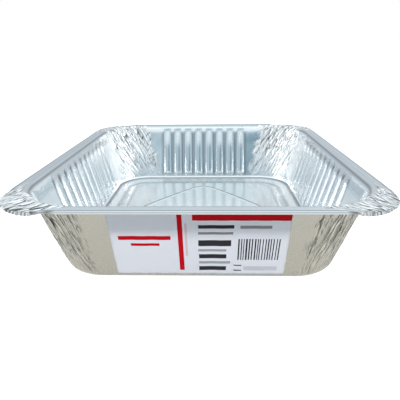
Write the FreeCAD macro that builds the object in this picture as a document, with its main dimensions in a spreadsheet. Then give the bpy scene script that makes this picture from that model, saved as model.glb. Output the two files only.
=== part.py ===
import FreeCAD, Part
import math
import os

# A roasting pan pressed from one sheet of foil, with a paper label on its front wall.
# The origin is the middle of the base, +Z is up and the labelled end wall faces -Y.

# Driving dimensions in millimetres, and counts
SIZES = {
    "rim_width": 270,
    "rim_length": 303,
    "pan_height": 66,
    "foil_thickness": 0.2,
    "rim_reach": 11.5,
    "side_lean": 16.5,
    "end_lean": 19.7,
    "base_corner": 36,
    "wall_top_corner": 45,
    "rim_corner": 33.4,
    "foot_radius": 4,
    "corner_pleats": 12,
    "pleat_depth": 1.9,
    "rib_width": 10,
    "rib_depth": 1.6,
    "rib_pitch": 13.8,
    "end_ribs": 8,
    "side_ribs": 11,
    "side_rib_shift": 7,
    "rib_below_rim": 8,
    "rib_above_floor": 4,
    "flange_bend": 5,
    "curl_radius": 1.4,
    "lip_crease": 1.5,
    "lip_crimp": 1.2,
    "panel_rise": 1.4,
    "panel_slope": 8,
    "panel_corner": 26,
    "ring_width_side": 10,
    "ring_width_end": 15,
    "bead_width": 3.2,
    "bead_rise": 0.7,
    "bead_half_width": 76,
    "bead_half_length": 91,
    "bead_corner": 28,
    "label_width": 122,
    "label_shift": 1.5,
    "label_thickness": 0.12,
    "label_bottom": 3.2,
    "label_below_rim": 6,
}

doc = FreeCAD.newDocument("foil_roasting_pan")
sheet = doc.addObject("Spreadsheet::Sheet", "sizes")
for row, (alias, value) in enumerate(SIZES.items(), start=1):
    sheet.set("A%d" % row, alias)
    sheet.set("B%d" % row, str(value))
    sheet.setAlias("B%d" % row, alias)
doc.recompute()

# Values worked out from the driving dimensions
foil = sheet.foil_thickness
height = sheet.pan_height
half_rim_x = sheet.rim_width / 2
half_rim_y = sheet.rim_length / 2
half_base_x = half_rim_x - sheet.rim_reach - sheet.side_lean
half_base_y = half_rim_y - sheet.rim_reach - sheet.end_lean
side_slope = sheet.side_lean / height
end_slope = sheet.end_lean / height
pleat_share = sheet.pleat_depth / sheet.wall_top_corner
pleat_steps = 2 * int(sheet.corner_pleats)
bend_level = height - foil - sheet.flange_bend
wall_top = bend_level + sheet.flange_bend * math.sin(math.atan(min(side_slope, end_slope)))


def valley(turn, step):
    """How deep the gathered foil dips at a step round a corner: 0 on a crest, up to 1 in a valley."""
    mean_dip = 0.78
    uneven_dip = 0.22
    rhythm = 2.4
    fade = math.sin(2 * turn) ** 0.5
    return (mean_dip + uneven_dip * math.sin(rhythm * step)) * fade if step % 2 else 0


def outline(half_x, half_y, corner, level, gather=0, crease=0, steps=pleat_steps):
    """Points of a rounded rectangle at one level, with each corner gathered into pleats.

    gather is how far the valleys cut into the corner, as a share of its radius, and crease is
    how far they dip."""
    points = []
    for side_x, side_y, order in ((1, 1, 1), (-1, 1, -1), (-1, -1, 1), (1, -1, -1)):
        for step in range(steps + 1)[::order]:
            turn = math.pi / 2 * step / steps
            depth = valley(turn, step)
            reach = corner * (1 - gather * depth)
            x = half_x - corner + reach * math.cos(turn)
            y = half_y - corner + reach * math.sin(turn)
            points.append(FreeCAD.Vector(side_x * x, side_y * y, level - crease * depth))
    return points


def wall_half(level, half_base, slope, skin):
    """Half size of the tray at a level: the round foot, the leaning wall, or the bend into the flange.

    skin is 0 on the outside of the foil and its thickness on the inside."""
    lean = math.atan(slope)
    wall = half_base + level * slope - skin / math.cos(lean)
    foot_radius = sheet.foot_radius - skin
    below_foot = sheet.foot_radius - level
    if below_foot > foot_radius * math.sin(lean):
        centre = half_base + sheet.foot_radius * (slope - 1 / math.cos(lean))
        return centre + math.sqrt(max(foot_radius ** 2 - below_foot ** 2, 0))
    bend_radius = sheet.flange_bend + skin
    above_bend = level - bend_level
    if above_bend > bend_radius * math.sin(lean):
        centre = half_base + bend_level * slope + sheet.flange_bend / math.cos(lean)
        return centre - math.sqrt(max(bend_radius ** 2 - above_bend ** 2, 0))
    return wall


def wall_outline(level, skin):
    """Outline of one side of the wall's foil at a level."""
    half_x = wall_half(level, half_base_x, side_slope, skin)
    half_y = wall_half(level, half_base_y, end_slope, skin)
    corner_growth = (sheet.wall_top_corner - sheet.base_corner) / height
    inset = half_base_x + level * side_slope - half_x
    corner = sheet.base_corner + level * corner_growth - inset
    return outline(half_x, half_y, corner, level, pleat_share)


def facets(ring, other):
    """Flat faces between two outlines with the same number of points."""
    faces = []
    for number in range(len(ring)):
        quad = [ring[number - 1], ring[number], other[number], other[number - 1]]
        normal = (quad[1] - quad[0]).cross(quad[3] - quad[0]).normalize()
        if abs(normal.dot(quad[2] - quad[0])) < 1e-7:
            faces.append(Part.Face(Part.makePolygon(quad + quad[:1])))
        else:
            faces.append(Part.Face(Part.makePolygon([quad[0], quad[1], quad[2], quad[0]])))
            faces.append(Part.Face(Part.makePolygon([quad[0], quad[2], quad[3], quad[0]])))
    return faces


def band(rings):
    """Flat faces through a row of outlines."""
    faces = []
    for ring, other in zip(rings, rings[1:]):
        faces += facets(ring, other)
    return faces


def solid_of(faces):
    """The solid that a closed set of faces bounds."""
    shell = Part.makeShell(faces)
    shell.sewShape()
    solid = Part.makeSolid(shell)
    if solid.Volume < 0:
        solid.reverse()
    return solid


def capped(rings):
    """A solid with flat facets through a row of outlines, closed by a flat face at each end."""
    ends = [Part.Face(Part.makePolygon(ring + ring[:1])) for ring in (rings[0], rings[-1])]
    return solid_of(band(rings) + ends)


def computed(name, shape):
    """A document object that holds a shape worked out from the sheet."""
    item = doc.addObject("Part::Feature", name)
    item.Shape = shape
    return item


def tray_form(name, skin):
    """The space inside one skin of the foil, from its floor up through the round foot to the bend."""
    foot_steps = 2
    turn = math.pi / 2 - math.atan(side_slope)
    levels = []
    for step in range(foot_steps + 1):
        rise = 1 - math.cos(turn * step / foot_steps)
        levels.append(skin + (sheet.foot_radius - skin) * rise)
    levels.append(wall_top)
    return computed(name, capped([wall_outline(level, skin) for level in levels]))


def capsule(radius, low, high, reach, half_width):
    """An upright bar with rounded ends, in flat facets, whose side towards -X presses the wall.

    Its outline shrinks over each end until it has drawn back by reach, out of the wall."""
    half_turn = math.asin(half_width / radius)
    facets_across = 5
    end_steps = 3
    end_turn = math.acos((radius - reach) / radius)
    rings = []
    for end, way in ((low, -1), (high, 1)):
        for step in range(end_steps + 1)[::way]:
            tilt = end_turn * step / end_steps
            level = end + way * radius * math.sin(tilt)
            ring = [FreeCAD.Vector(0, 0, level)]
            for number in range(facets_across + 1):
                turn = math.pi + half_turn * (2 * number / facets_across - 1)
                x = radius * math.cos(tilt) * math.cos(turn)
                y = radius * math.cos(tilt) * math.sin(turn)
                ring.append(FreeCAD.Vector(x, y, level))
            rings.append(ring)
    return capped(rings)


def rib_tools(name, skin):
    """Rounded bars that press the upright ribs into the walls, one foil larger on the inside."""
    half_width = sheet.rib_width / 2
    radius = (half_width ** 2 + sheet.rib_depth ** 2) / 2 / sheet.rib_depth
    tools = []
    walls = (
        (half_base_x, side_slope, int(sheet.side_ribs), sheet.side_rib_shift, 0),
        (half_base_y, end_slope, int(sheet.end_ribs), 0, 90),
        (half_base_x, side_slope, int(sheet.side_ribs), -sheet.side_rib_shift, 180),
        (half_base_y, end_slope, int(sheet.end_ribs), 0, 270),
    )
    for half_base, slope, count, shift, turn in walls:
        lean = math.atan(slope)
        low = (sheet.rib_above_floor + half_width) / math.cos(lean)
        high = (height - sheet.rib_below_rim) / math.cos(lean) - half_width
        bar = capsule(radius + skin, low, high, sheet.rib_depth + skin, half_width + skin)
        bar.translate(FreeCAD.Vector(radius - sheet.rib_depth, 0, 0))
        bar.rotate(FreeCAD.Vector(0, 0, 0), FreeCAD.Vector(0, 1, 0), math.degrees(lean))
        for number in range(count):
            along = (number - (count - 1) / 2) * sheet.rib_pitch + shift
            rib = bar.copy()
            rib.translate(FreeCAD.Vector(half_base, along, 0))
            rib.rotate(FreeCAD.Vector(0, 0, 0), FreeCAD.Vector(0, 0, 1), turn)
            tools.append(rib)
    return computed(name, Part.makeCompound(tools))


def cut(name, base, tool):
    """base with tool taken away."""
    result = doc.addObject("Part::Cut", name)
    result.Base = base
    result.Tool = tool
    return result


def join(name, pieces):
    """All the pieces as one."""
    result = doc.addObject("Part::MultiFuse", name)
    result.Shapes = pieces
    return result


def panel_form(name, skin):
    """The floor panel that stands a little proud of the ring the pan rests on."""
    edge_x = half_base_x - sheet.foot_radius - sheet.ring_width_side + skin
    edge_y = half_base_y - sheet.foot_radius - sheet.ring_width_end + skin
    corner = sheet.panel_corner + skin
    below = foil
    corner_steps = 4
    run = sheet.panel_slope * (sheet.panel_rise + below) / sheet.panel_rise
    low = outline(edge_x, edge_y, corner, skin - below, steps=corner_steps)
    top = outline(edge_x - run, edge_y - run, corner, skin + sheet.panel_rise, steps=corner_steps)
    return computed(name, capped([low, top]))


def diamond(offset, level):
    """Points of a diamond with rounded corners, moved outwards by offset."""
    across = sheet.bead_half_width
    along = sheet.bead_half_length
    side = math.hypot(across, along)
    side_turn = math.atan2(across, along)
    steps = 4
    points = []
    corners = (
        (across - sheet.bead_corner * side / along, 0, -side_turn, side_turn),
        (0, along - sheet.bead_corner * side / across, side_turn, math.pi - side_turn),
        (-across + sheet.bead_corner * side / along, 0, math.pi - side_turn, math.pi + side_turn),
        (0, -along + sheet.bead_corner * side / across, math.pi + side_turn, 2 * math.pi - side_turn),
    )
    for x, y, start, end in corners:
        for step in range(steps + 1):
            turn = start + (end - start) * step / steps
            reach = sheet.bead_corner + offset
            points.append(FreeCAD.Vector(x + reach * math.cos(turn), y + reach * math.sin(turn), level))
    return points


def bead_tool(name, skin):
    """Bar along a diamond, with a low four-sided section, that presses the bead into the panel."""
    floor = sheet.panel_rise + skin
    low = floor - sheet.bead_rise
    crown = floor + sheet.bead_rise
    foot = sheet.bead_width / 2 + skin
    shoulder = sheet.bead_width / 6
    rings = [
        diamond(-foot, low),
        diamond(-foot, floor),
        diamond(-shoulder, crown),
        diamond(shoulder, crown),
        diamond(foot, floor),
        diamond(foot, low),
    ]
    return computed(name, solid_of(band(rings + rings[:1])))


def rim_rings():
    """Outlines along the flange's foil: over the bend, out to the curl and back underneath."""
    bend_steps = 3
    bend_start = math.asin((wall_top - bend_level) / sheet.flange_bend)
    curl_turns = [math.radians(turn) for turn in (0, 45, 90, 170, 250)]

    def bend(step, skin):
        turn = bend_start + (math.pi / 2 - bend_start) * step / bend_steps
        rise = (sheet.flange_bend + skin) * math.sin(turn)
        return wall_outline(bend_level + rise, skin)

    def curl(turn, radius):
        inset = sheet.curl_radius - radius * math.sin(turn)
        level = height - sheet.curl_radius + radius * math.cos(turn)
        corner = sheet.rim_corner - inset
        crimp = sheet.lip_crimp / sheet.rim_corner
        return outline(half_rim_x - inset, half_rim_y - inset, corner, level, crimp, sheet.lip_crease)

    over = [wall_outline(wall_top, foil)]
    over += [bend(step, foil) for step in range(1, bend_steps + 1)]
    over += [curl(turn, sheet.curl_radius) for turn in curl_turns]
    under = [wall_outline(wall_top, 0)]
    under += [bend(step, 0) for step in range(1, bend_steps + 1)]
    under += [curl(turn, sheet.curl_radius - foil) for turn in curl_turns]
    return over + under[::-1]


def pressed_skin(name, skin):
    """One skin of the pressed foil: the tray's form less the ribs, panel and bead pushed up into it."""
    tools = join(name + "_tools", [
        rib_tools(name + "_ribs", skin),
        panel_form(name + "_panel", skin),
        bead_tool(name + "_bead", skin),
    ])
    return cut(name, tray_form(name + "_form", skin), tools)


def foil_tray():
    """The whole sheet: the inside and outside skins, open at the top and closed there by the rim."""
    skins = [pressed_skin("inside", foil), pressed_skin("outside", 0)]
    rim = computed("rim_band", Part.makeCompound(band(rim_rings())))
    doc.recompute()
    faces = list(rim.Shape.Faces)
    for skin in skins:
        faces += [face for face in skin.Shape.Faces if face.BoundBox.ZMin < wall_top - foil / 2]
    tray = computed("foil_tray", solid_of(faces))
    tray.Label = "foil_tray"
    return tray


def paper_label():
    """Flat label on the lands between the front wall's ribs."""
    label = doc.addObject("Part::Box", "paper_label")
    label.Label = "paper_label"
    label.setExpression("Length", "sizes.label_width")
    label.setExpression("Width", "sizes.label_thickness")
    label.setExpression("Height", "sqrt(1 + (sizes.end_lean / sizes.pan_height)^2)"
                        " * (sizes.pan_height - sizes.label_below_rim - sizes.label_bottom)")
    lean = math.atan(end_slope)
    wall_y = -(half_base_y + sheet.label_bottom * end_slope)
    outward = FreeCAD.Vector(0, -math.cos(lean), -math.sin(lean))
    corner = FreeCAD.Vector(sheet.label_shift - sheet.label_width / 2, wall_y, sheet.label_bottom)
    turn = FreeCAD.Rotation(FreeCAD.Vector(1, 0, 0), math.degrees(lean))
    label.Placement = FreeCAD.Placement(corner + outward * sheet.label_thickness, turn)
    return label


parts = [foil_tray(), paper_label()]
doc.recompute()

for item in doc.Objects:
    if "Invalid" in item.State or "Error" in item.State:
        raise RuntimeError("%s was not built: %s" % (item.Name, item.State))

os.makedirs("parts", exist_ok=True)
for item in parts:
    shape = item.Shape
    if shape.isNull() or not shape.isValid() or len(shape.Solids) != 1:
        raise RuntimeError("%s is not one valid solid" % item.Label)
    print(item.Label, len(shape.Solids), "solid", len(shape.Faces), "faces", round(shape.Volume, 1), "mm3")
    shape.exportStep("parts/%s.step" % item.Label)
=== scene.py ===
import math

import bmesh
import bpy
from bpy.props import FloatProperty, FloatVectorProperty, IntProperty, PointerProperty
from mathutils import Euler, Matrix, Vector, noise


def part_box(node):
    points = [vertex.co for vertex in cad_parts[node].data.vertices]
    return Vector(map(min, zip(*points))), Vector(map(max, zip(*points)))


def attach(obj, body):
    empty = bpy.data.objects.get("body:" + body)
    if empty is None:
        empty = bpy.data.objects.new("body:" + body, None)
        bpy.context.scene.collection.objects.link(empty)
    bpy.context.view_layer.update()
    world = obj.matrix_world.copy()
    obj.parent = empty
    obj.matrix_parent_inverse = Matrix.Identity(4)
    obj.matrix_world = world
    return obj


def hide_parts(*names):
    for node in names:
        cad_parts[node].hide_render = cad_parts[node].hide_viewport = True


bl_info = {
    "name": "Foil Roasting Pan",
    "version": (1, 0, 0),
    "blender": (4, 5, 0),
    "location": "View3D > Sidebar > Foil Pan",
    "description": "Dresses a pressed foil roasting pan and its paper label",
    "category": "Add Mesh",
}

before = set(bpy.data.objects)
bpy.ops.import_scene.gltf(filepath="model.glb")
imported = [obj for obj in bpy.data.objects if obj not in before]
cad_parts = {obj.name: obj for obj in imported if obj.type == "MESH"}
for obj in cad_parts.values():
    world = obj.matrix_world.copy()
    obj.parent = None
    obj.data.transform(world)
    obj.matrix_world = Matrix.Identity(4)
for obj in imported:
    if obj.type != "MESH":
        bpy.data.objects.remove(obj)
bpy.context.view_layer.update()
TRAY_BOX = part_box("foil_tray")
LABEL_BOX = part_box("paper_label")
MM = 0.001

# How finely the sheet is divided
RIB_STEPS = (-0.46, -0.365, -0.3, -0.12, 0.12, 0.3, 0.365, 0.46)
PLAIN_STEPS = 9
CORNER_STEPS = 77
FOOT_STEPS = 5
WALL_STEPS = 27
BEND_STEPS = 5
FLANGE_STEPS = 8
CURL_STEPS = 7
SHARP_ANGLE = math.radians(32)

# How much of a straight side its ribs may take up, and how far the rolled edge turns
STRAIGHT_USED = 0.995
CURL_TURN = math.radians(250)

# Lines along the diamond bead, counted outwards from its crest; the first lies well inside the diamond
BEAD_LINES = (-9, -2.4, -1.3, -0.7, -0.3, 0, 0.3, 0.7, 1.3, 2.4)
INNER_BEAD_LINE = -5
BEAD_LINE_SPACING = 0.55

# The zones of the sheet that make the lips of the corners
LIP_ZONES = ("flange", "curl")

# For each corner, which way round it its end wall lies, and how its folds lean on their way down
END_WAY = (1, -1, 1, -1)
FOLD_LEAN = (0.45, -0.45, 0.15, -0.15)

# Tones are painted light and shade: above 0 on dark lines of painted shade and below 0 on foil painted pale
BEAD_TONE = 0.8
PANEL_LINE_TONE = 0.45
FLOOR_TONE = -0.25
FOOT_LINE_TONE = 0.65
SIDE_BEND_TONES = (0.3, 0.75, 0.25, 0.15, 0.35)
END_BEND_TONES = (-0.8, 0, 0.3, 0.3, 0.35)

# Fields of colour on the label: left, right, low, high in millimetres, and strength
RED_FIELDS = (
    (-2.8, 62, 53.3, 60.2, 1),
    (-13, -9.6, 7.6, 60.2, 1),
    (-54, -18, 36.5, 40, 1),
    (-46, -26, 31, 33.4, 1),
    (-8.2, -6.6, 21.8, 51, 0.3),
)
INK_FIELDS = (
    (0.8, 23.4, 31, 36.4, 1),
    (1, 25, 46.6, 49.6, 1),
    (1.1, 20.4, 19.4, 23.4, 1),
    (1, 20.4, 7.6, 11.6, 1),
    (0.9, 24.5, 41.4, 43.6, 0.7),
    (29, 50, 46.6, 49.2, 0.7),
    (0.6, 20.2, 26, 28.2, 0.55),
    (1, 23.3, 14.2, 16.6, 0.55),
    (33, 57, 7.4, 11.6, 0.25),
    (25.8, 31.4, 7, 8, 1),
    (25.8, 31.4, 12, 13, 1),
)
STRIPE_FIELD = (27.6, 57, 18, 37.6)

# The room that the foil shows, from the front of the pan to the back
ROOM = (
    (0.0, (0.15, 0.25, 0.33, 1)),
    (0.018, (0.25, 0.38, 0.46, 1)),
    (0.027, (0.31, 0.44, 0.52, 1)),
    (0.034, (0.52, 0.65, 0.72, 1)),
    (0.05, (0.56, 0.7, 0.77, 1)),
    (0.08, (0.4, 0.51, 0.58, 1)),
    (0.25, (0.52, 0.63, 0.7, 1)),
    (0.36, (0.78, 0.87, 0.93, 1)),
    (0.5, (1.0, 1.0, 1.0, 1)),
    (0.7, (0.85, 0.92, 0.97, 1)),
    (1.0, (0.6, 0.67, 0.73, 1)),
)
ZENITH = (0.82, 0.96, 1, 1)
WHITE = (1, 1, 1, 1)
BLACK = (0, 0, 0, 1)

# Outputs of the nodes that have several
OBJECT_PLACE = 3
ATTRIBUTE_VECTOR = 1
ATTRIBUTE_NUMBER = 2
CAMERA_RAY = 0
GLOSSY_RAY = 3
TRANSMISSION_RAY = 6


# Settings that a user would change


def length(name, description, default):
    """A length property, given in millimetres and kept in metres."""
    return FloatProperty(name=name, description=description, default=default * MM, unit="LENGTH")


def colour(name, description, default):
    """A colour property."""
    return FloatVectorProperty(
        name=name, description=description, default=default, subtype="COLOR", size=3, min=0, max=1)


class FOILPAN_PG_tray(bpy.types.PropertyGroup):
    """Sizes and colours of the pressed tray."""
    foil: length("Foil", "Thickness of the sheet", 0.2)
    rim_reach: length("Rim reach", "From the line of the wall to the rim's outer edge", 11.5)
    side_lean: length("Side lean", "How far the side walls lean out over their height", 16.5)
    end_lean: length("End lean", "How far the end walls lean out over their height", 19.7)
    base_corner: length("Base corner", "Radius of the walls' corners at the base", 36)
    wall_corner: length("Wall corner", "Radius of the walls' corners at the rim", 45)
    rim_corner: length("Rim corner", "Radius of the rim's outer corners", 33.4)
    foot_radius: length("Foot radius", "Radius between floor and wall", 4)
    bend_radius: length("Bend radius", "Radius between wall and flange", 5)
    curl_radius: length("Curl radius", "Radius of the rolled edge", 1.15)
    rib_width: length("Rib width", "Width of an upright rib", 10)
    rib_depth: length("Rib depth", "How far a rib stands into the pan", 1.6)
    rib_pitch: length("Rib pitch", "From one rib to the next", 13.8)
    rib_low: length("Rib start", "Height of a rib's foot above the floor", 4)
    rib_below_rim: length("Rib top", "From a rib's top up to the rim", 6.5)
    panel_rise: length("Panel rise", "How far the floor panel is pressed up", 1.4)
    panel_slope: length("Panel slope", "Width of the step round the panel", 8)
    panel_corner: length("Panel corner", "Radius of the panel's corners", 26)
    ring_side: length("Ring width at the sides", "Flat ring along the side walls", 10)
    ring_end: length("Ring width at the ends", "Flat ring along the end walls", 15)
    bead_across: length("Bead across", "Half the diamond's width", 76)
    bead_along: length("Bead along", "Half the diamond's length", 91)
    bead_width: length("Bead width", "Width of the pressed line", 3.2)
    bead_rise: length("Bead rise", "Height of the pressed line", 0.7)
    gather: length("Gathers", "Depth of the main folds in the corners", 1.5)
    crumple: length("Crumple", "Depth of the small creases in the corners", 0.28)
    crumple_reach: length("Crumple reach", "From a corner's middle to the end of its creases at the back", 36)
    side_reach: length("Side reach", "The same on the side walls", 17)
    front_reach: length("Front reach", "The same on the wall that carries the label", 30)
    lip_crease: length("Lip creases", "Depth of the creases in the lips of the corners", 1.3)
    lip_droop: length("Lip droop", "How far the lips of the corners hang down", 1.7)
    rib_shift: length("Side rib shift", "How far the side ribs sit towards the back", 7)
    side_ribs: IntProperty(name="Side ribs", description="Ribs on a side wall", default=11)
    end_ribs: IntProperty(name="End ribs", description="Ribs on an end wall", default=8)
    bright_colour: colour("Bright side", "Colour of the foil's bright side", (0.9, 0.925, 0.94))
    dull_colour: colour("Dull side", "Colour of the foil's dull side", (0.47, 0.45, 0.39))


class FOILPAN_PG_label(bpy.types.PropertyGroup):
    """Colours of the paper label."""
    paper: colour("Paper", "Colour of the paper", (0.88, 0.885, 0.94))
    red: colour("Red", "Colour of the red fields", (0.6, 0.005, 0.012))
    ink: colour("Ink", "Colour of the dark fields", (0.035, 0.035, 0.04))


class FOILPAN_PG_studio(bpy.types.PropertyGroup):
    """The camera and the light."""
    lens: FloatProperty(name="Lens", description="Focal length", default=33.85, subtype="DISTANCE_CAMERA")
    floor: colour("Floor", "Colour of the floor", (0.5, 0.5, 0.5))
    floor_glow: FloatProperty(name="Floor glow", description="White that the camera sees on it", default=0.8)
    floor_gloss: FloatProperty(name="Floor gloss", description="White that metal shows of it", default=0.45)


# Outlines of the tray


class Station:
    """A place on the way round the tray: on a wall, or part of the way round the corner after it.

    On a wall it lies `along` from the middle and `share` of the way on to the corner on its `side`. In a
    corner it lies at the angle `turn`. `across` is how far it is from the middle of its rib, and `span` is
    how far the ribs reach from the middle of the wall.
    """

    def __init__(self, wall, along=0.0, side=0, share=0.0, turn=None, across=None, span=1.0):
        self.wall = wall
        self.along = along
        self.side = side
        self.share = share
        self.turn = turn
        self.across = across
        self.span = span
        self.normal = Vector(((1, 0), (0, 1), (-1, 0), (0, -1))[wall])
        self.tangent = Vector((-self.normal.y, self.normal.x))
        self.on_side = wall % 2 == 0

    def place(self, half_x, half_y, corner):
        """The point in plan, and the outward direction there, on a rounded rectangle."""
        out, across = (half_x, half_y) if self.on_side else (half_y, half_x)
        if self.turn is None:
            straight = across - corner
            along = self.along * min(1, STRAIGHT_USED * straight / self.span)
            along += self.side * self.share * (straight - along * self.side)
            return self.normal * out + self.tangent * along, self.normal
        away = self.normal * math.cos(self.turn) + self.tangent * math.sin(self.turn)
        centre = self.normal * (out - corner) + self.tangent * (across - corner)
        return centre + away * corner, away


def stations(tray):
    """Every station round the tray, close together on the ribs and in the corners."""
    result = []
    for wall in range(4):
        count = tray.side_ribs if wall % 2 == 0 else tray.end_ribs
        edge = count / 2 * tray.rib_pitch
        shift = (tray.rib_shift, 0, -tray.rib_shift, 0)[wall]
        span = edge + abs(shift)
        for step in range(PLAIN_STEPS):
            result.append(Station(wall, shift - edge, -1, 1 - step / PLAIN_STEPS, span=span))
        for rib in range(count):
            middle = (rib - (count - 1) / 2) * tray.rib_pitch
            for step in RIB_STEPS:
                across = step * tray.rib_pitch
                result.append(Station(wall, shift + middle + across, across=across, span=span))
        for step in range(1, PLAIN_STEPS + 1):
            result.append(Station(wall, shift + edge, 1, step / PLAIN_STEPS, span=span))
        for step in range(1, CORNER_STEPS):
            result.append(Station(wall, turn=math.pi / 2 * step / CORNER_STEPS))
    return result


class Shape:
    """The tray's forms, worked out from its sizes."""

    def __init__(self, tray):
        low, high = TRAY_BOX
        self.tray = tray
        self.height = high.z
        self.rim_x = (high.x - low.x) / 2
        self.rim_y = (high.y - low.y) / 2
        self.base_x = self.rim_x - tray.rim_reach - tray.side_lean
        self.base_y = self.rim_y - tray.rim_reach - tray.end_lean
        self.slope_x = tray.side_lean / self.height
        self.slope_y = tray.end_lean / self.height
        self.bend_level = self.height - tray.foil - tray.bend_radius

    def half(self, level, base, slope):
        """Half size at a level of the inside skin: round foot, leaning wall or bend."""
        tray = self.tray
        lean = math.atan(slope)
        foot = tray.foot_radius - tray.foil
        below = tray.foot_radius - level
        if below > foot * math.sin(lean):
            centre = base + tray.foot_radius * (slope - 1 / math.cos(lean))
            return centre + math.sqrt(max(foot ** 2 - below ** 2, 0))
        bend = tray.bend_radius + tray.foil
        above = level - self.bend_level
        if above > bend * math.sin(lean):
            centre = base + self.bend_level * slope + tray.bend_radius / math.cos(lean)
            return centre - math.sqrt(max(bend ** 2 - above ** 2, 0))
        return base + level * slope - tray.foil / math.cos(lean)

    def wall(self, level):
        """Half sizes and corner radius of the inside skin at a level."""
        half_x = self.half(level, self.base_x, self.slope_x)
        half_y = self.half(level, self.base_y, self.slope_y)
        growth = (self.tray.wall_corner - self.tray.base_corner) / self.height
        inset = self.base_x + level * self.slope_x - half_x
        return half_x, half_y, self.tray.base_corner + level * growth - inset

    def keep_inside(self, point):
        """Moves a point of the inside skin back within the tray's box."""
        point.x = min(max(point.x, -self.rim_x), self.rim_x)
        point.y = min(max(point.y, -self.rim_y), self.rim_y)
        point.z = min(max(point.z, self.tray.foil), self.height)


class Ring:
    """One outline of the inside skin: half sizes and corner, level, zone, facing and share of the zone."""

    def __init__(self, sizes, level, zone, facing, share=0.0):
        self.half_x, self.half_y, self.corner = sizes
        self.level = level
        self.zone = zone
        self.facing = facing
        self.share = share


def floor_rings(shape):
    """The outlines of the diamond bead and of the step round the floor panel."""
    tray = shape.tray
    top = tray.foil + 0.01 * MM
    panel = top + tray.panel_rise
    slope = tray.panel_slope
    edge_x = shape.base_x - tray.foot_radius - tray.ring_side
    edge_y = shape.base_y - tray.foot_radius - tray.ring_end
    smallest_corner = 5 * MM
    result = [Ring((0, 0, 0), panel, "bead", 0, line) for line in BEAD_LINES]
    # How far in from the step's foot, level, and how much painted shade its line gets
    for inset, level, line in (
            (slope + 4.8 * MM, panel, 0.0),
            (slope + 3.4 * MM, panel, 0.6),
            (slope + 1.8 * MM, panel + 0.3 * MM, 0.0),
            (slope - 1 * MM, panel - 0.2 * MM, 0.5),
            (slope - 2.5 * MM, panel - 0.8 * MM, 0.2),
            (1.5 * MM, top + 0.2 * MM, 1.0),
            (-1 * MM, top, 0.7),
            (-3 * MM, top, 0.0),
            (2 * MM - tray.ring_side, top, 0.0)):
        sizes = (edge_x - inset, edge_y - inset, max(tray.panel_corner - inset / 2, smallest_corner))
        result.append(Ring(sizes, level, "floor", 0, line))
    return result


def wall_rings(shape):
    """The outlines of the round foot, the wall and the bend above it."""
    tray = shape.tray
    result = []
    lean = math.atan(shape.slope_x)
    foot = tray.foot_radius - tray.foil
    for step in range(FOOT_STEPS + 1):
        facing = (math.pi / 2 - lean) * step / FOOT_STEPS
        level = tray.foot_radius - foot * math.cos(facing)
        result.append(Ring(shape.wall(level), level, "wall", -facing, 0))

    bend = tray.bend_radius + tray.foil
    wall_low = result[-1].level
    wall_high = shape.bend_level + bend * math.sin(lean)
    for step in range(1, WALL_STEPS + 1):
        level = wall_low + (wall_high - wall_low) * step / WALL_STEPS
        share = (level - wall_low) / (wall_high - wall_low)
        result.append(Ring(shape.wall(level), level, "wall", lean - math.pi / 2, share))
    for step in range(1, BEND_STEPS + 1):
        turn = lean + (math.pi / 2 - lean) * step / BEND_STEPS
        level = shape.bend_level + bend * math.sin(turn)
        result.append(Ring(shape.wall(level), level, "bend", turn - math.pi / 2, step / BEND_STEPS))
    return result


def rim_rings(shape, inner):
    """The outlines of the flange, from the last one of the bend, and of the rolled edge."""
    result = []
    curl = shape.tray.curl_radius
    rim_corner = shape.tray.rim_corner
    start = (inner.half_x, inner.half_y, inner.corner)
    outer = (shape.rim_x - curl, shape.rim_y - curl, rim_corner - curl)
    for step in range(1, FLANGE_STEPS):
        share = step / FLANGE_STEPS
        sizes = [a + (b - a) * share for a, b in zip(start, outer)]
        result.append(Ring(sizes, shape.height, "flange", 0, share))
    for step in range(CURL_STEPS + 1):
        turn = CURL_TURN * step / CURL_STEPS
        inset = curl - curl * math.sin(turn)
        level = shape.height - curl + curl * math.cos(turn)
        sizes = (shape.rim_x - inset, shape.rim_y - inset, rim_corner - inset)
        result.append(Ring(sizes, level, "curl", turn, step / CURL_STEPS))
    return result


# Folds and creases


def smooth(low, high, value):
    """0 below low, 1 above high and an even curve between."""
    share = min(max((value - low) / (high - low), 0), 1)
    return share * share * (3 - 2 * share)


def fold(value):
    """A row of sharp folds: 1 on each crest and -1 in each trough, one of each per unit."""
    return 4 * abs(value - math.floor(value) - 0.5) - 1


def cloud(x, y, z):
    """A cloud of values from -1 to 1 that is the same on every run."""
    return noise.noise(Vector((x, y, z)))


def wandering_folds(across, run, spacing, lean, wander, scale, seed):
    """A row of folds, all in millimetres, that lean over and wander from side to side."""
    moved = wander * cloud(across * scale[0], run * scale[1], seed)
    return fold(across / spacing + run * lean + moved)


def rib_height(tray, top, along, level):
    """How far the rounded rib nearest to a point stands out of the wall."""
    bluntness = 1.8
    half = tray.rib_width / 2
    radius = (half ** 2 + tray.rib_depth ** 2) / 2 / tray.rib_depth
    low = tray.rib_low + half
    high = top - tray.rib_below_rim - half
    beyond = max(low - level, level - high, 0) / half
    away = math.hypot(along, half * beyond ** bluntness)
    if away >= half:
        return 0
    return math.sqrt(radius ** 2 - away ** 2) - radius + tray.rib_depth


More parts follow.
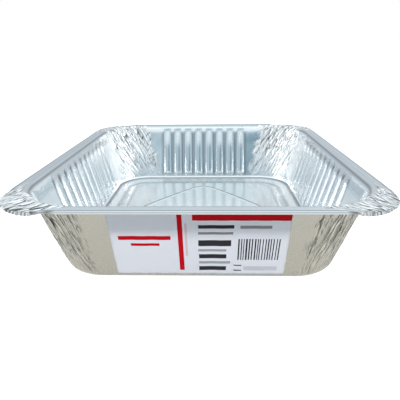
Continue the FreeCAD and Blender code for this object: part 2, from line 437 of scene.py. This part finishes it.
class Creases:
    """Where the foil is creased, and the folds there as heights above the plain form."""

    def __init__(self, tray, shape):
        self.tray = tray
        self.shape = shape
        self.radius = (tray.base_corner + tray.wall_corner) / 2

    def corner(self, station, ring):
        """Which corner a point is nearest to, and how far round it from the corner's middle."""
        if station.turn is not None:
            return station.wall, (station.turn - math.pi / 4) * self.radius
        half_turn = math.pi / 4 * self.radius
        across = ring.half_y if station.on_side else ring.half_x
        edge = across - ring.corner
        along = station.along + station.side * station.share * (edge - station.along * station.side)
        if along > 0:
            return station.wall, along - edge - half_turn
        return (station.wall - 1) % 4, edge + along + half_turn

    def nearness(self, ring, corner, around):
        """1 in a corner's creased part, which lies mostly on its end wall, and 0 on the plain foil."""
        tray = self.tray
        spread_down = 9 * MM
        spread_on_lip = 18 * MM
        level = ring.level / (7 * MM)
        ragged = 5 * MM * cloud(level, 3.0 * corner, 1.5)
        ragged += 2 * MM * cloud(2.7 * level, 3.0 * corner, 9.5)
        beyond = around * END_WAY[corner] + ragged
        at_back = corner < 2
        end_reach = tray.crumple_reach if at_back else tray.front_reach
        if ring.zone == "wall" and at_back:
            end_reach += spread_down * (1 - ring.share)
        side_reach = tray.side_reach
        if ring.zone in LIP_ZONES:
            side_reach += spread_on_lip
        start = smooth(-side_reach - 5 * MM, -side_reach + 8 * MM, beyond)
        return start * (1 - smooth(end_reach - 2.5 * MM, end_reach + 2 * MM, beyond))

    def slant(self, corner, around, run):
        """The way round a corner, measured along folds that lean towards the end walls on their way down."""
        return around - FOLD_LEAN[corner] * max(self.shape.height - run, 0)

    def run(self, ring):
        """How far up the foil a ring lies, along the wall, over the bend and out across the flange."""
        bend_run = 4 * MM
        flange_run = 16 * MM
        if ring.zone == "wall":
            return ring.level
        if ring.zone == "bend":
            return ring.level + bend_run * ring.share
        out = ring.share if ring.zone == "flange" else 1 + 0.3 * ring.share
        return self.shape.height + bend_run + out * flange_run

    def gathers(self, corner, around, run):
        """The folds of a corner with the creases that cross them, and how much painted shade their lines get.
        """
        across = self.slant(corner, around, run) / MM
        run = run / MM
        seed = 17.3 * corner
        drift = 1.1 * cloud(across * 0.09, run * 0.035, seed)
        main = fold(across / 4.7 + drift + 0.3 * math.sin(run * 0.05 + corner))
        forward = wandering_folds(across, run, 3.1, 0.045, 0.8, (0.14, 0.06), seed + 5)
        backward = wandering_folds(across, run, 3.7, -0.06, 0.8, (0.12, 0.05), seed + 9)
        strength = 0.75 + 0.6 * cloud(across * 0.2, run * 0.05, seed + 2)
        choice = smooth(-0.15, 0.35, cloud(across * 0.11, run * 0.07, seed + 3))
        crossing = choice * forward + (1 - choice) * backward
        line = max(smooth(0.4, 1, -main) * strength, 0.7 * smooth(0.5, 1, -crossing))
        return strength * main + 0.55 * crossing, line

    def lip(self, corner, around, run):
        """The strong creases across the lip of a corner, 0 on their crests, and how much painted shade their
        lines get.
        """
        across = around / MM
        run = run / MM
        seed = corner * 7
        main = wandering_folds(across, run, 5.6, 0, 1.3, (0.06, 0.11), 31 + seed)
        fine = wandering_folds(across, run, 2.9, 0, 1.2, (0.1, 0.13), 47 + seed)
        strength = 0.7 + 0.5 * cloud(across * 0.1, run * 0.1, 3 + corner)
        line = max(smooth(0.6, 0.95, -main) * min(strength * 1.7, 1), 0.6 * smooth(0.7, 1, -fine))
        return 0.5 * strength * (1 - main) + 0.2 * (1 - fine), line

    def small(self, point, seed):
        """Small sharp creases in every direction, 1 on their crests."""
        spacing = 3.6 * MM
        p = Vector((point.x, point.y, point.z * 0.55)) / spacing
        return 1 - 2.2 * abs(noise.noise(p + Vector((seed, 0, 0)))) - 0.6 * abs(noise.noise(p * 2.1))


class Spot:
    """One point of the foil above the floor: where it is, how crumpled, and its tone of painted light and
    shade.
    """

    def __init__(self, station, ring, creases):
        self.station = station
        self.ring = ring
        self.creases = creases
        self.shape = creases.shape
        self.tray = creases.tray
        plan, self.out = station.place(ring.half_x, ring.half_y, ring.corner)
        self.point = Vector((plan.x, plan.y, ring.level))
        sideward = math.sin(ring.facing)
        self.facing = Vector((self.out.x * sideward, self.out.y * sideward, math.cos(ring.facing)))
        self.corner, self.around = creases.corner(station, ring)
        self.near = creases.nearness(ring, self.corner, self.around)
        self.plain = 1 - self.near
        self.sideways = smooth(0.35, 0.85, abs(self.out.x))
        self.run = creases.run(ring)
        self.rise = 0.0
        self.crumpled = 0.0
        self.tone = 0.0

    def dress(self):
        """Adds everything that belongs to the point's zone, and moves the point out by its height."""
        ring = self.ring
        if ring.zone == "wall" and self.station.across is not None:
            self.add_rib()
        if self.near > 0:
            self.add_folds()
        if ring.zone in LIP_ZONES:
            self.add_crimp()
        if ring.zone == "wall":
            self.add_dents()
        {"wall": self.tone_wall, "bend": self.tone_bend,
         "flange": self.tone_flange, "curl": self.tone_curl}[ring.zone]()
        self.point += self.facing * self.rise
        self.shape.keep_inside(self.point)

    def add_rib(self):
        """Raises the nearest rib, with painted shade in the grooves beside it and a painted highlight on its
        crest on the end walls.
        """
        ring, tray, height = self.ring, self.tray, self.shape.height
        rib = rib_height(tray, height, self.station.across, ring.level)
        self.rise += rib
        if tray.rib_below_rim < height - ring.level:
            # Painted shade in the grooves beside the rib
            self.tone = 0.4 * (1 - smooth(0, 0.5 * MM, rib)) * smooth(0, 8 * MM, ring.level)
        if not self.station.on_side:
            # Painted highlight on the upper crest of the end ribs
            upper = smooth(0.55, 0.8, ring.share)
            self.tone -= 0.7 * upper * smooth(0.55, 0.95, rib / tray.rib_depth)

    def fold_strength(self):
        """How strong the folds are here: they fade out downwards and over the rim."""
        ring = self.ring
        if ring.zone == "wall":
            above_foot = smooth(0, 1, min(ring.level / (7 * MM), 1))
            return (0.35 + 0.65 * smooth(0, 0.9, ring.share)) * above_foot
        if ring.zone == "bend":
            return 1 - 0.3 * ring.share
        if ring.zone == "flange":
            return 0.7 - 0.1 * ring.share
        return 0.55 * (1 - 0.7 * ring.share)

    def add_folds(self):
        """Folds the corner on its wall, or creases its lip and lets the lip droop, and paints shade along its
        crease lines.
        """
        ring, tray, creases = self.ring, self.tray, self.creases
        on_lip = ring.zone in LIP_ZONES
        strength = self.fold_strength()
        depth = self.near * strength
        if on_lip:
            lowest = 22 * MM * END_WAY[self.corner]
            droop_reach = 36 * MM
            folds, line = creases.lip(self.corner, self.around, self.run)
            self.rise -= depth * tray.lip_crease * folds
            outer = ring.share if ring.zone == "flange" else 1
            hang = 1 - smooth(0, droop_reach, abs(self.around - lowest))
            self.rise -= tray.lip_droop * outer * hang * self.facing.z
        else:
            folds, line = creases.gathers(self.corner, self.around, self.run)
            self.rise += depth * tray.gather * 0.5 * folds
        self.rise += depth * tray.crumple * (creases.small(self.point, self.corner) - 1)
        self.crumpled = depth * (2 if on_lip else 1)
        # Painted shade along the crease lines
        self.tone = line * (self.near * min(strength * 1.5, 1))

    def add_crimp(self):
        """Crimps the outer edge of a corner's lip in small waves, with painted shade in their troughs."""
        ring = self.ring
        spacing = 3.6 * MM
        depth = 0.3 * MM
        crimped = 1 - smooth(40 * MM, 50 * MM, abs(self.around))
        if ring.zone == "flange":
            edge = smooth(0.6, 1, ring.share)
        else:
            edge = 1 - 0.6 * smooth(0.4, 1, ring.share)
        shift = 2 * cloud(self.around / (9 * MM), self.corner, 0)
        wave = math.sin(self.around / spacing * 2 * math.pi + shift)
        self.rise += depth * crimped * edge * (wave - 1)
        # Painted shade in the troughs of the waves
        self.tone = max(self.tone, crimped * edge * smooth(0.2, 1, -wave))

    def add_dents(self):
        """Lets the plain foil bulge softly, less so between the ribs."""
        spacing = 26 * MM
        depth = 0.6 if self.station.across is None else 0.25
        soft = max(noise.noise(self.point / spacing) + 0.2, 0)
        self.rise += depth * MM * soft * self.plain * smooth(2 * MM, 9 * MM, self.ring.level)

    def tone_wall(self):
        """A painted dark line of shade and a painted pale one at the foot, side walls painted pale, and
        painted pale notches above the end ribs.
        """
        ring, across = self.ring, self.station.across
        # Painted shade at the foot, and painted light above it and on the side walls
        if ring.level < 0.8 * MM:
            self.tone = FOOT_LINE_TONE
        elif ring.level < 3 * MM:
            self.tone -= 0.6
        else:
            pale = 0.8 if across is None else 0.35
            self.tone += (0.6 * smooth(0.8, 0.9, ring.share) - pale) * self.plain * self.sideways
        between = 1 if across is None else smooth(0.2, 0.42, abs(across) / self.tray.rib_pitch)
        self.tone -= 0.8 * smooth(0.91, 0.95, ring.share) * self.plain * (1 - self.sideways) * between

    def tone_bend(self):
        """Painted lines of shade and light along the bend, which differ on side and end walls."""
        step = round(self.ring.share * BEND_STEPS) - 1
        side = SIDE_BEND_TONES[step]
        end = END_BEND_TONES[step]
        self.tone += (end + (side - end) * self.sideways) * self.plain

    def tone_flange(self):
        """A flange painted grey with shade, darkest at the back and bright at the front, with a painted dark
        line of shade by the curl.
        """
        grey = 0.25 + 0.3 * smooth(0.5, 0.95, self.out.y)
        self.tone = max(self.tone, grey * self.plain * smooth(-0.9, -0.5, self.out.y))
        if self.ring.share > 0.85:
            self.tone = max(self.tone, 0.8 * self.plain)

    def tone_curl(self):
        """A curl with painted shade that darkens as it turns under."""
        share = self.ring.share
        self.tone = max(self.tone, 0.4 * smooth(0.15, 0.3, share), smooth(0.5, 0.7, share))


def dressed_point(station, ring, creases):
    """A point of the finished foil, how crumpled it is, its tone of painted light and shade, and its place in
    the flat sheet.
    """
    if ring.zone == "bead":
        # Painted shade on the bead's crest, and painted light beside it
        on_crest = abs(ring.share) < 0.5
        return bead_point(station, ring, creases.shape), 0.0, BEAD_TONE if on_crest else -0.2, Vector()
    if ring.zone == "floor":
        plan, _ = station.place(ring.half_x, ring.half_y, ring.corner)
        # Painted shade on the lines round the panel's step, and painted light on the rest of the floor
        tone = PANEL_LINE_TONE * ring.share if ring.share else FLOOR_TONE
        return Vector((plan.x, plan.y, ring.level)), 0.0, tone, Vector()
    spot = Spot(station, ring, creases)
    spot.dress()
    apart = 40
    place = Vector((creases.slant(spot.corner, spot.around, spot.run), spot.run, 0)) / MM
    return spot.point, spot.crumpled, spot.tone, place + Vector((0, 0, apart * spot.corner))


def bead_point(station, ring, shape):
    """A point on one of the lines along the diamond bead."""
    tray = shape.tray
    plan, _ = station.place(shape.base_x, shape.base_y, tray.base_corner)
    turn = math.atan2(plan.y, plan.x)
    blunt = 0.12
    across = math.hypot(math.cos(turn), blunt) / tray.bead_across
    along = math.hypot(math.sin(turn), blunt) / tray.bead_along
    reach = 1 / (across + along)
    if ring.share < INNER_BEAD_LINE:
        reach *= 0.3
    else:
        reach += ring.share * tray.bead_width * BEAD_LINE_SPACING
    rise = tray.bead_rise * (1 - smooth(0.1, 1.2, abs(ring.share)))
    return Vector((reach * math.cos(turn), reach * math.sin(turn), ring.level + rise))


def foil_mesh(tray):
    """The whole sheet as one surface: a floor pushed out ring by ring to the end of the curl."""
    shape = Shape(tray)
    creases = Creases(tray, shape)
    around = stations(tray)
    outlines = floor_rings(shape) + wall_rings(shape)
    outlines += rim_rings(shape, outlines[-1])
    mesh = bmesh.new()
    crumple = mesh.verts.layers.float.new("crumple")
    # Painted shade (above 0) and painted light (below 0) at each point
    valley = mesh.verts.layers.float.new("valley")
    place = mesh.verts.layers.float_vector.new("sheet_place")
    bmesh.ops.create_circle(mesh, cap_ends=True, segments=len(around), radius=1)
    mesh.verts.ensure_lookup_table()
    row = list(mesh.verts)
    if (row[1].co.cross(row[2].co)).z < 0:
        row.reverse()
    rows = []
    for number, ring in enumerate(outlines):
        if number:
            edges = [edge for edge in mesh.edges if edge.is_boundary]
            made = bmesh.ops.extrude_edge_only(mesh, edges=edges)
            fresh = {vert for vert in made["geom"] if isinstance(vert, bmesh.types.BMVert)}
            row = [next(edge.other_vert(vert) for edge in vert.link_edges if edge.other_vert(vert) in fresh)
                   for vert in row]
        for vert, station in zip(row, around):
            vert.co, vert[crumple], vert[valley], vert[place] = dressed_point(station, ring, creases)
        rows.append(row)
    put_in_order(mesh, rows)
    return mesh


def put_in_order(mesh, rows):
    """Numbers the sheet ring by ring, so that its parts have the same order on every run."""
    for number, vert in enumerate(vert for row in rows for vert in row):
        vert.index = number
    mesh.verts.sort()
    mesh.verts.index_update()
    total = len(mesh.verts)

    def order(item):
        numbers = [vert.index for vert in item.verts]
        return min(numbers) * total + max(numbers)

    mesh.edges.sort(key=order)
    mesh.faces.sort(key=order)


def finished(mesh, name, look, body="root"):
    """Makes an object of a bmesh, with smooth faces that stay sharp along its creases."""
    for face in mesh.faces:
        face.smooth = True
    for edge in mesh.edges:
        if len(edge.link_faces) == 2 and edge.calc_face_angle(0) > SHARP_ANGLE:
            edge.smooth = False
    data = bpy.data.meshes.new(name)
    mesh.to_mesh(data)
    mesh.free()
    data.materials.append(look)
    piece = bpy.data.objects.new(name, data)
    bpy.context.scene.collection.objects.link(piece)
    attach(piece, body)
    return piece


# Materials


class Socket:
    """A shader socket that can be written in sums."""

    def __init__(self, nodes, source):
        self.nodes = nodes
        self.source = source

    def math(self, operation, *others):
        return self.nodes.add("ShaderNodeMath", {"operation": operation}, (self, *others))

    def __add__(self, other):
        return self.math("ADD", other)

    __radd__ = __add__

    def __sub__(self, other):
        return self.math("SUBTRACT", other)

    def __mul__(self, other):
        return self.math("MULTIPLY", other)

    def __lt__(self, other):
        return self.math("LESS_THAN", other)

    def __gt__(self, other):
        return self.math("GREATER_THAN", other)

    def __abs__(self):
        return self.math("ABSOLUTE")


class Nodes:
    """The nodes of one material or world."""

    def __init__(self, tree):
        self.tree = tree
        tree.nodes.clear()

    def add(self, kind, settings=None, inputs=None, output=0):
        """Adds a node, sets it up and returns one of its outputs."""
        node = self.tree.nodes.new(kind)
        for name, value in (settings or {}).items():
            if name == "stops":
                self.set_stops(node.color_ramp, value)
            else:
                setattr(node, name, value)
        pairs = inputs.items() if isinstance(inputs, dict) else enumerate(inputs or ())
        for name, value in pairs:
            if isinstance(value, Socket):
                self.tree.links.new(value.source, node.inputs[name])
            else:
                node.inputs[name].default_value = value
        return Socket(self, node.outputs[output]) if node.outputs else None

    @staticmethod
    def set_stops(ramp, stops):
        while len(ramp.elements) < len(stops):
            ramp.elements.new(1)
        for element, (place, value) in zip(ramp.elements, stops):
            element.position = place
            element.color = value if hasattr(value, "__len__") else (value, value, value, 1)

    def mix(self, share, first, second):
        """Mixes two colours."""
        return self.add("ShaderNodeMix", {"data_type": "RGBA"}, {0: share, 6: first, 7: second}, 2)

    def noise(self, place, scale, detail=2.0, rough=0.5):
        """A cloud of values about one half."""
        inputs = {"Vector": place, "Scale": scale, "Detail": detail, "Roughness": rough}
        return self.add("ShaderNodeTexNoise", None, inputs)

    def cells(self, place):
        """How far a place lies from the nearest crease between flat patches."""
        inputs = {"Vector": place, "Scale": 1.0}
        return self.add("ShaderNodeTexVoronoi", {"feature": "DISTANCE_TO_EDGE"}, inputs)

    def stretched(self, place, scale):
        """A place with its axes scaled."""
        return self.add("ShaderNodeMapping", None, {"Vector": place, "Scale": scale})

    def attribute(self, name, output):
        """A value that the mesh carries."""
        return self.add("ShaderNodeAttribute", {"attribute_name": name}, output=output)

    def between(self, value, low, high, first, last):
        """Goes evenly from first to last while the value goes from low to high."""
        return self.add("ShaderNodeMapRange", None, {0: value, 1: low, 2: high, 3: first, 4: last})

    def larger(self, first, second):
        """The larger of two values."""
        return self.add("ShaderNodeMath", {"operation": "MAXIMUM"}, (first, second))

    def vector(self, operation, first, second):
        """A sum or product of two vectors."""
        return self.add("ShaderNodeVectorMath", {"operation": operation}, (first, second))


def new_material(name):
    """A material and its empty set of nodes."""
    made = bpy.data.materials.new(name)
    made.use_nodes = True
    return made, Nodes(made.node_tree)


def scaled(tint, factor):
    """A colour made darker or lighter, with its alpha."""
    return tuple(min(value * factor, 1) for value in tint) + (1,)


def foil_material(name, tint, dullness, painted_crease_shade_depth, glint_depth, patch, painted_crease_shade_width, painted_paleness):
    """Rolled foil, with fine rolling lines and small creases where it is crumpled, painted shade along the
    creases and on the mesh's dark lines, and painted highlights and paleness.
    """
    ripple_depth, rolling_depth, long_depth, fine_depth = 0.0001, 0.000012, 0.0016, 0.0002
    glint_place, glint_width = 0.1, 0.04
    made, nodes = new_material(name)
    place = nodes.add("ShaderNodeTexCoord", output=OBJECT_PLACE)
    crumpled = nodes.attribute("crumple", ATTRIBUTE_NUMBER)
    # The painted shade and painted light that the mesh carries
    valley = nodes.attribute("valley", ATTRIBUTE_NUMBER)
    lines = nodes.noise(nodes.stretched(place, (900, 12, 900)), 1.0, 3, 0.6)
    cloudy = nodes.noise(place, 45, 3)
    ripple = nodes.noise(place, 40, 2)

    # Flat patches between creases, laid along the folds of the sheet
    sheet = nodes.attribute("sheet_place", ATTRIBUTE_VECTOR)
    drift = nodes.add("ShaderNodeTexNoise", None, {"Vector": sheet, "Scale": 0.07, "Detail": 2.0}, 1)
    wavy = nodes.vector("ADD", sheet, nodes.vector("MULTIPLY", drift, (4.0, 5.0, 0.0)))
    long = nodes.cells(nodes.stretched(wavy, (*patch, 1)))
    fine = nodes.cells(nodes.stretched(wavy, (0.62, 0.2, 1)))
    # Painted shade along the creases between the flat patches, and a painted highlight just beside them
    painted_crease_shade = nodes.between(long, painted_crease_shade_width * 0.3, painted_crease_shade_width, 1.0, 0.0)
    glint = nodes.between(abs(long - glint_place), 0.0, glint_width, 1.0, 0.0)

    height = ripple * ripple_depth + lines * rolling_depth
    height = height + (long * long_depth + fine * fine_depth) * crumpled
    bump = nodes.add("ShaderNodeBump", None, {"Strength": 1.0, "Distance": 1.0, "Height": height})

    # Painted shade: dark lines lose their colour. Painted light: pale places, and crumpled ones, lose some of
    # their metal
    dark = valley * 0.9 + painted_crease_shade * crumpled * painted_crease_shade_depth
    pale = nodes.larger(valley * -1, 0.0)
    # Painted light: the mesh's pale places, and crumpled ones, lose metal so that they look paler
    metal = nodes.between(crumpled + pale, 0.0, 0.8, 1.0, 1.0 - painted_paleness)
    surface = nodes.mix(cloudy, scaled(tint, 1), scaled(tint, 0.93))
    # A painted highlight beside the creases of crumpled foil
    surface = nodes.mix(glint * crumpled * glint_depth, surface, scaled(tint, 1.7))
    shader = nodes.add("ShaderNodeBsdfPrincipled", None, {
        "Base Color": nodes.mix(dark, surface, scaled(tint, 0.1)),
        "Metallic": metal,
        "Roughness": cloudy * 0.08 + lines * 0.06 + dullness,
        "Normal": bump,
    })
    nodes.add("ShaderNodeOutputMaterial", None, (shader,))
    return made


def label_material(label):
    """White paper with fields of colour in place of print."""
    stripe_turns, stripe_wander, thinnest_stripe = 3.4, 9, 0.1
    made, nodes = new_material("printed_paper")
    place = nodes.add("ShaderNodeTexCoord", output=OBJECT_PLACE)
    x = nodes.add("ShaderNodeSeparateXYZ", None, (place,), 0) * 1000
    z = nodes.add("ShaderNodeSeparateXYZ", None, (place,), 2) * 1000

    def field(left, right, low, high, strength=1):
        inside_x = abs(x - (left + right) / 2) < (right - left) / 2
        inside_z = abs(z - (low + high) / 2) < (high - low) / 2
        return inside_x * inside_z * strength

    red = sum(field(*sizes) for sizes in RED_FIELDS)
    ink = sum(field(*sizes) for sizes in INK_FIELDS)
    wander = nodes.noise(nodes.stretched(place, (1, 0, 0)), 260, 2)
    wave = nodes.add("ShaderNodeMath", {"operation": "SINE"}, (x * stripe_turns + wander * stripe_wander,))
    ink = ink + field(*STRIPE_FIELD) * (wave > thinnest_stripe)
    grain = nodes.noise(place, 700, 2)
    paper = nodes.mix(grain, scaled(label.paper, 1), scaled(label.paper, 0.97))
    printed = nodes.mix(red, paper, (*label.red, 1))
    printed = nodes.mix(ink, printed, (*label.ink, 1))
    bump = nodes.add("ShaderNodeBump", None, {"Strength": 0.3, "Distance": 0.0001, "Height": grain})
    shader = nodes.add("ShaderNodeBsdfPrincipled", None, {
        "Base Color": printed,
        "Roughness": grain * 0.1 + 0.5,
        "Specular IOR Level": 0.04,
        "Normal": bump,
    })
    nodes.add("ShaderNodeOutputMaterial", None, (shader,))
    return made


# Operators


class FOILPAN_OT_tray(bpy.types.Operator):
    """Build the foil tray with its ribs, folds, creased lips and rolled edge"""
    bl_idname = "foilpan.tray"
    bl_label = "Foil Tray"

    def execute(self, context):
        tray = context.scene.foilpan_tray
        bright = foil_material(
            "bright_foil", tray.bright_colour, dullness=0.1, painted_crease_shade_depth=0.75, glint_depth=0.5,
            patch=(0.3, 0.04), painted_crease_shade_width=0.06, painted_paleness=0.6)
        dull = foil_material(
            "dull_foil", tray.dull_colour, dullness=0.2, painted_crease_shade_depth=0.8, glint_depth=0.9,
            patch=(0.22, 0.012), painted_crease_shade_width=0.045, painted_paleness=0.1)
        piece = finished(foil_mesh(tray), "foil_sheet", bright)
        piece.data.materials.append(dull)
        sheet = piece.modifiers.new("Foil", "SOLIDIFY")
        sheet.thickness = tray.foil
        sheet.offset = -1
        sheet.material_offset = 1
        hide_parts("foil_tray")
        return {"FINISHED"}


class FOILPAN_OT_label(bpy.types.Operator):
    """Build the paper label on the front wall"""
    bl_idname = "foilpan.label"
    bl_label = "Paper Label"

    def execute(self, context):
        tray = context.scene.foilpan_tray
        wave_depth = 0.12 * MM
        thickness = 0.12 * MM
        low, high = LABEL_BOX
        mesh = bmesh.new()
        bmesh.ops.create_grid(mesh, x_segments=72, y_segments=36, size=0.5)
        for vert in mesh.verts:
            x = low.x + (vert.co.x + 0.5) * (high.x - low.x)
            z = low.z + (vert.co.y + 0.5) * (high.z - low.z)
            share = (z - low.z) / (high.z - low.z)
            y = high.y + (low.y - high.y) * share
            wave = wave_depth * (1 + math.sin(x / tray.rib_pitch * 2 * math.pi))
            vert.co = Vector((x, y - wave, z))
        piece = finished(mesh, "label_sheet", label_material(context.scene.foilpan_label))
        paper = piece.modifiers.new("Paper", "SOLIDIFY")
        paper.thickness = thickness
        paper.offset = 1
        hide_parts("paper_label")
        return {"FINISHED"}


class FOILPAN_OT_stage(bpy.types.Operator):
    """Set up the pale floor, the soft light and the camera"""
    bl_idname = "foilpan.stage"
    bl_label = "Stage"

    def execute(self, context):
        studio = context.scene.foilpan_studio
        self.add_floor(studio)
        self.add_world(context.scene)
        self.add_lights()
        self.add_camera(context.scene, studio)
        context.scene.view_settings.view_transform = "Standard"
        return {"FINISHED"}

    def add_floor(self, studio):
        """A wide pale floor that looks white to the camera."""
        mesh = bmesh.new()
        bmesh.ops.create_grid(mesh, x_segments=4, y_segments=4, size=6)
        data = bpy.data.meshes.new("floor")
        mesh.to_mesh(data)
        mesh.free()
        floor = bpy.data.objects.new("floor", data)
        bpy.context.scene.collection.objects.link(floor)
        made, nodes = new_material("floor_white")
        shader = nodes.add("ShaderNodeBsdfPrincipled", None, {
            "Base Color": (*studio.floor, 1), "Roughness": 0.6, "Specular IOR Level": 0.2})
        seen = nodes.add("ShaderNodeLightPath", output=CAMERA_RAY)
        mirrored = nodes.add("ShaderNodeLightPath", output=GLOSSY_RAY)
        mirrored = mirrored + nodes.add("ShaderNodeLightPath", output=TRANSMISSION_RAY)
        white = seen * studio.floor_glow + mirrored * studio.floor_gloss
        glow = nodes.add("ShaderNodeEmission", None, {"Color": WHITE, "Strength": white})
        both = nodes.add("ShaderNodeAddShader", None, (shader, glow))
        nodes.add("ShaderNodeOutputMaterial", None, (both,))
        data.materials.append(made)

    def add_world(self, scene):
        """A pale room that lights the pan and shows in the foil, and plain white to the camera."""
        softness = 0.55
        horizon_height = 0.03
        world = bpy.data.worlds.new("studio")
        scene.world = world
        world.use_nodes = True
        nodes = Nodes(world.node_tree)
        way = nodes.add("ShaderNodeTexCoord", output=0)
        across, back, up = (nodes.add("ShaderNodeSeparateXYZ", None, (way,), axis) for axis in range(3))
        room = nodes.add("ShaderNodeValToRGB", {"stops": ROOM}, (back * 0.5 + 0.5 - across * 0.12,))
        height = nodes.add("ShaderNodeValToRGB", {"stops": ((0.5, 0), (0.95, 1))}, (up,))
        dome = nodes.mix(height, room, ZENITH)
        glossy = nodes.add("ShaderNodeLightPath", output=GLOSSY_RAY)
        camera = nodes.add("ShaderNodeLightPath", output=CAMERA_RAY)
        seen = nodes.larger(camera, glossy * (up < horizon_height))
        lighting = nodes.mix(glossy, nodes.mix(softness, BLACK, dome), dome)
        shader = nodes.add("ShaderNodeBackground", None, {
            "Color": nodes.mix(seen, lighting, WHITE), "Strength": 1.0})
        nodes.add("ShaderNodeOutputWorld", None, (shader,))

    def add_lights(self):
        """Two soft lamps beside the pan and a broad sun in front of it."""
        for name, place, power in (("left", (-1.3, 0.1, 0.7), 6.0), ("right", (1.3, 0.0, 0.75), 7.0)):
            light = bpy.data.lights.new(name, "AREA")
            light.size = 0.6
            self.add_lamp(name, light, place, power)
        light = bpy.data.lights.new("front", "SUN")
        light.angle = math.radians(9)
        lamp = self.add_lamp("front", light, (0.15, -1.0, 1.25), 2.6)
        lamp.visible_glossy = False

    def add_lamp(self, name, light, place, power):
        """Hangs a lamp that shines on the middle of the pan."""
        light.energy = power
        lamp = bpy.data.objects.new(name, light)
        lamp.location = place
        lamp.rotation_euler = (-Vector(place)).to_track_quat("-Z", "Y").to_euler()
        bpy.context.scene.collection.objects.link(lamp)
        return lamp

    def add_camera(self, scene, studio):
        """The camera that took the photo, as far as the pan's outline tells."""
        camera = bpy.data.objects.new("camera", bpy.data.cameras.new("camera"))
        camera.data.lens = studio.lens
        camera.data.sensor_width = 36
        camera.data.clip_start = 0.01
        pitch, yaw, roll = 0.371, -0.032, -0.012
        camera.location = (0.00973, -0.3606, 0.155)
        turn = Euler((math.pi / 2 - pitch, 0, -yaw), "XYZ").to_matrix() @ Matrix.Rotation(roll, 3, "Z")
        camera.rotation_euler = turn.to_euler()
        scene.collection.objects.link(camera)
        scene.camera = camera


class FOILPAN_PT_panel(bpy.types.Panel):
    """Lists the pieces of the pan"""
    bl_label = "Foil Pan"
    bl_idname = "FOILPAN_PT_panel"
    bl_space_type = "VIEW_3D"
    bl_region_type = "UI"
    bl_category = "Foil Pan"

    def draw(self, context):
        for operator in OPERATORS:
            self.layout.operator(operator.bl_idname)


OPERATORS = (FOILPAN_OT_tray, FOILPAN_OT_label, FOILPAN_OT_stage)
GROUPS = {
    "foilpan_tray": FOILPAN_PG_tray,
    "foilpan_label": FOILPAN_PG_label,
    "foilpan_studio": FOILPAN_PG_studio,
}
CLASSES = (*GROUPS.values(), *OPERATORS, FOILPAN_PT_panel)


def register():
    for item in CLASSES:
        bpy.utils.register_class(item)
    for name, group in GROUPS.items():
        setattr(bpy.types.Scene, name, PointerProperty(type=group))


def unregister():
    for name in GROUPS:
        delattr(bpy.types.Scene, name)
    for item in reversed(CLASSES):
        bpy.utils.unregister_class(item)


def main():
    register()
    bpy.ops.foilpan.tray()
    bpy.ops.foilpan.label()
    bpy.ops.foilpan.stage()
    write_sizes()


def write_sizes():
    """Brings the view layer up to date."""
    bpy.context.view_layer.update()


if __name__ == "__main__":
    main()
